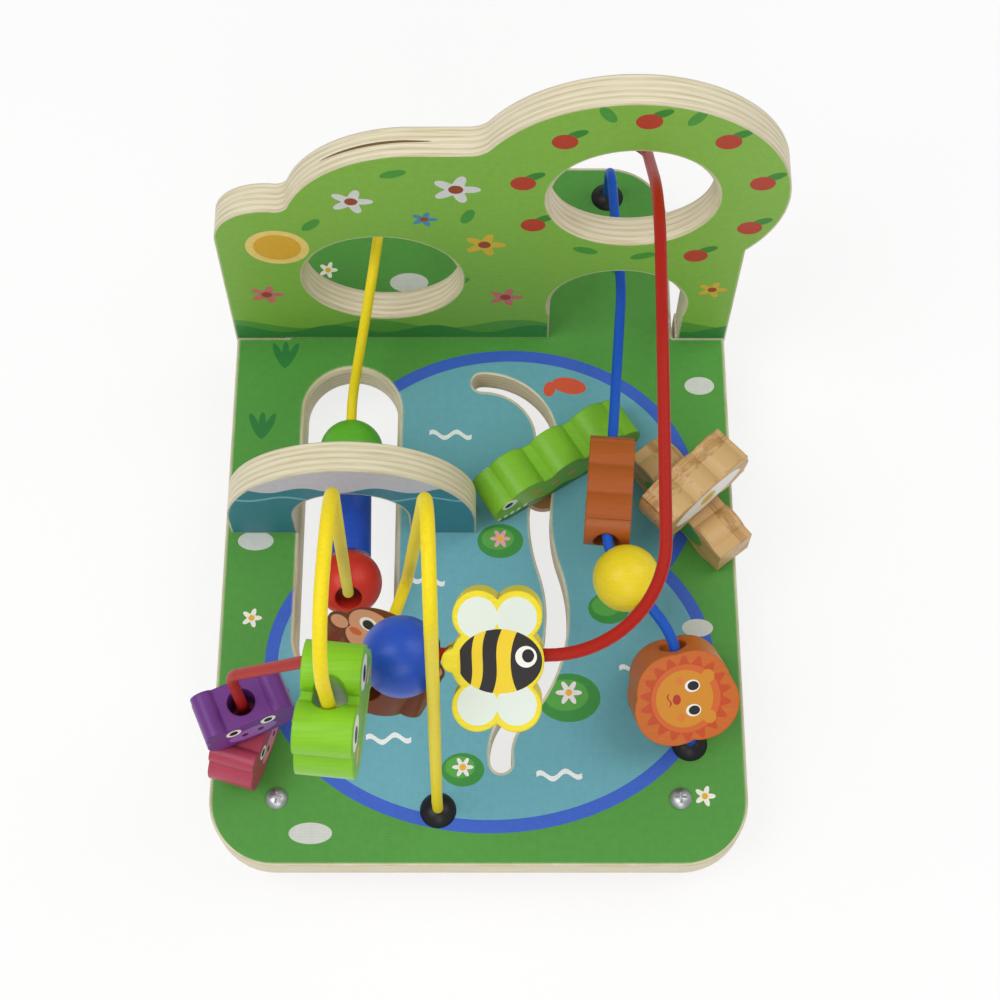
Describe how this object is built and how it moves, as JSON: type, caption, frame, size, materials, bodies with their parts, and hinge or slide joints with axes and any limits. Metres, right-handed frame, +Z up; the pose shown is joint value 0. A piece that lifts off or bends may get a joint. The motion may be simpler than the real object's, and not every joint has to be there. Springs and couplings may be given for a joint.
{
  "type": "bead maze",
  "caption": "Wooden bead maze: bent wires carry balls and animal beads over a slotted board with an upright tree panel, a low bridge, a slider in a winding slot and a crossed spinner.",
  "frame": {"origin": "middle of the front foot's underside, on the floor", "axes": "+Z up, +Y from the front of the board to the rear, +X to the right of a child who plays from the front"},
  "size_m": [0.2152, 0.3106, 0.255],
  "materials": {
    "board_print": "printed plywood, satin",
    "panel_print": "printed plywood, satin",
    "bridge_print": "printed plywood, satin",
    "natural_wood": "bare, sanded",
    "steel_screw": "plated",
    "wire_red": "thick gloss coating",
    "wire_yellow": "thick gloss coating",
    "wire_blue": "thick gloss coating",
    "black_plastic": "satin",
    "paint_green": "painted, satin",
    "paint_blue": "painted, satin",
    "paint_red": "painted, satin",
    "paint_lime": "painted, satin",
    "paint_dark_brown": "painted, satin",
    "paint_bee_yellow": "painted, satin",
    "paint_purple": "painted, satin",
    "paint_pink": "painted, satin",
    "paint_brown": "painted, satin",
    "paint_yellow": "painted, satin",
    "paint_orange": "painted, satin"
  },
  "bodies": {
    "frame": {"base_board": "board_print", "tree_panel": "panel_print", "front_foot": "natural_wood", "front_screw_left": "steel_screw", "front_screw_right": "steel_screw", "panel_screw_left": "steel_screw", "panel_screw_right": "steel_screw", "bridge": "bridge_print", "bridge_screw_left": "steel_screw", "bridge_screw_right": "steel_screw", "red_wire": "wire_red", "yellow_wire": "wire_yellow", "blue_wire": "wire_blue", "socket_red_front": "black_plastic", "socket_red_rear": "black_plastic", "socket_yellow_front": "black_plastic", "socket_yellow_rear": "black_plastic", "socket_blue_front": "black_plastic", "socket_blue_rear": "black_plastic"},
    "green_ball": {"green_ball": "paint_green"},
    "blue_barrel": {"blue_barrel": "paint_blue"},
    "red_ball": {"red_ball": "paint_red"},
    "frog_bead": {"frog_bead": "paint_lime"},
    "monkey_bead": {"monkey_bead": "paint_dark_brown"},
    "blue_ball": {"blue_ball": "paint_blue"},
    "bee_bead": {"bee_bead": "paint_bee_yellow"},
    "purple_bead": {"purple_bead": "paint_purple"},
    "pink_bead": {"pink_bead": "paint_pink"},
    "brown_bead": {"brown_bead": "paint_brown"},
    "yellow_ball": {"yellow_ball": "paint_yellow"},
    "lion_bead": {"lion_bead": "paint_orange"},
    "slider_carriage": {"slider_peg": "natural_wood", "slider_disc": "natural_wood"},
    "slider_body": {"slider_block": "paint_lime"},
    "spinner_top": {"spinner_upper": "natural_wood", "spinner_axle": "natural_wood", "spinner_disc": "natural_wood"},
    "spinner_low": {"spinner_lower": "natural_wood"}
  },
  "joints": [
    {"name": "green_ball_slide", "type": "slide", "parent": "frame", "child": "green_ball", "axis": [0.0202, -0.9998, 0], "range_m": [0, 0.0025]},
    {"name": "blue_barrel_slide", "type": "slide", "parent": "frame", "child": "blue_barrel", "axis": [0.0202, -0.9998, 0], "range_m": [-0.003, 0]},
    {"name": "red_ball_bend", "type": "hinge", "parent": "frame", "child": "red_ball", "pos_m": [-0.04863, 0.09442, 0.06697], "axis": [-0.9985, -0.0202, 0.0512], "range_deg": [0, 25]},
    {"name": "frog_slide", "type": "slide", "parent": "frame", "child": "frog_bead", "axis": [0, 0, 1], "range_m": [0, 0.014]},
    {"name": "monkey_slide", "type": "slide", "parent": "frame", "child": "monkey_bead", "axis": [0.1607, 0.7561, -0.6345], "range_m": [-0.01, 0]},
    {"name": "blue_ball_slide", "type": "slide", "parent": "frame", "child": "blue_ball", "axis": [-0.9997, 0.0156, -0.0208], "range_m": [0, 0.002]},
    {"name": "bee_tilt", "type": "hinge", "parent": "frame", "child": "bee_bead", "pos_m": [0.00707, 0.0068, 0.17624], "axis": [-0.9997, 0.0156, -0.0208], "range_deg": [-25, 25]},
    {"name": "purple_slide", "type": "slide", "parent": "frame", "child": "purple_bead", "axis": [0, 0, 1], "range_m": [0, 0.015]},
    {"name": "pink_turn", "type": "hinge", "parent": "frame", "child": "pink_bead", "pos_m": [-0.084, 0.024, 0.0443], "axis": [0, 0, 1], "range_deg": [-20, 5]},
    {"name": "brown_slide", "type": "slide", "parent": "frame", "child": "brown_bead", "axis": [-0.0795, -0.9935, 0.0821], "range_m": [-0.004, 0]},
    {"name": "yellow_ball_slide", "type": "slide", "parent": "frame", "child": "yellow_ball", "axis": [0.5764, -0.8163, -0.0371], "range_m": [0, 0.006]},
    {"name": "lion_slide", "type": "slide", "parent": "frame", "child": "lion_bead", "axis": [0.2056, -0.7498, -0.6289], "range_m": [-0.003, 0]},
    {"name": "slider_glide", "type": "slide", "parent": "frame", "child": "slider_carriage", "axis": [-0.1045, -0.9945, 0], "range_m": [-0.01, 0]},
    {"name": "slider_swivel", "type": "hinge", "parent": "slider_carriage", "child": "slider_body", "pos_m": [0.02515, 0.13115, 0.03], "axis": [0, 0, 1], "range_deg": [-5, 25]},
    {"name": "spinner_upper_turn", "type": "hinge", "parent": "frame", "child": "spinner_top", "pos_m": [0.0817, 0.1157, 0.03], "axis": [0, 0, 1], "continuous": true},
    {"name": "spinner_lower_turn", "type": "hinge", "parent": "frame", "child": "spinner_low", "pos_m": [0.0817, 0.1157, 0.03], "axis": [0, 0, 1], "continuous": true}
  ]
}
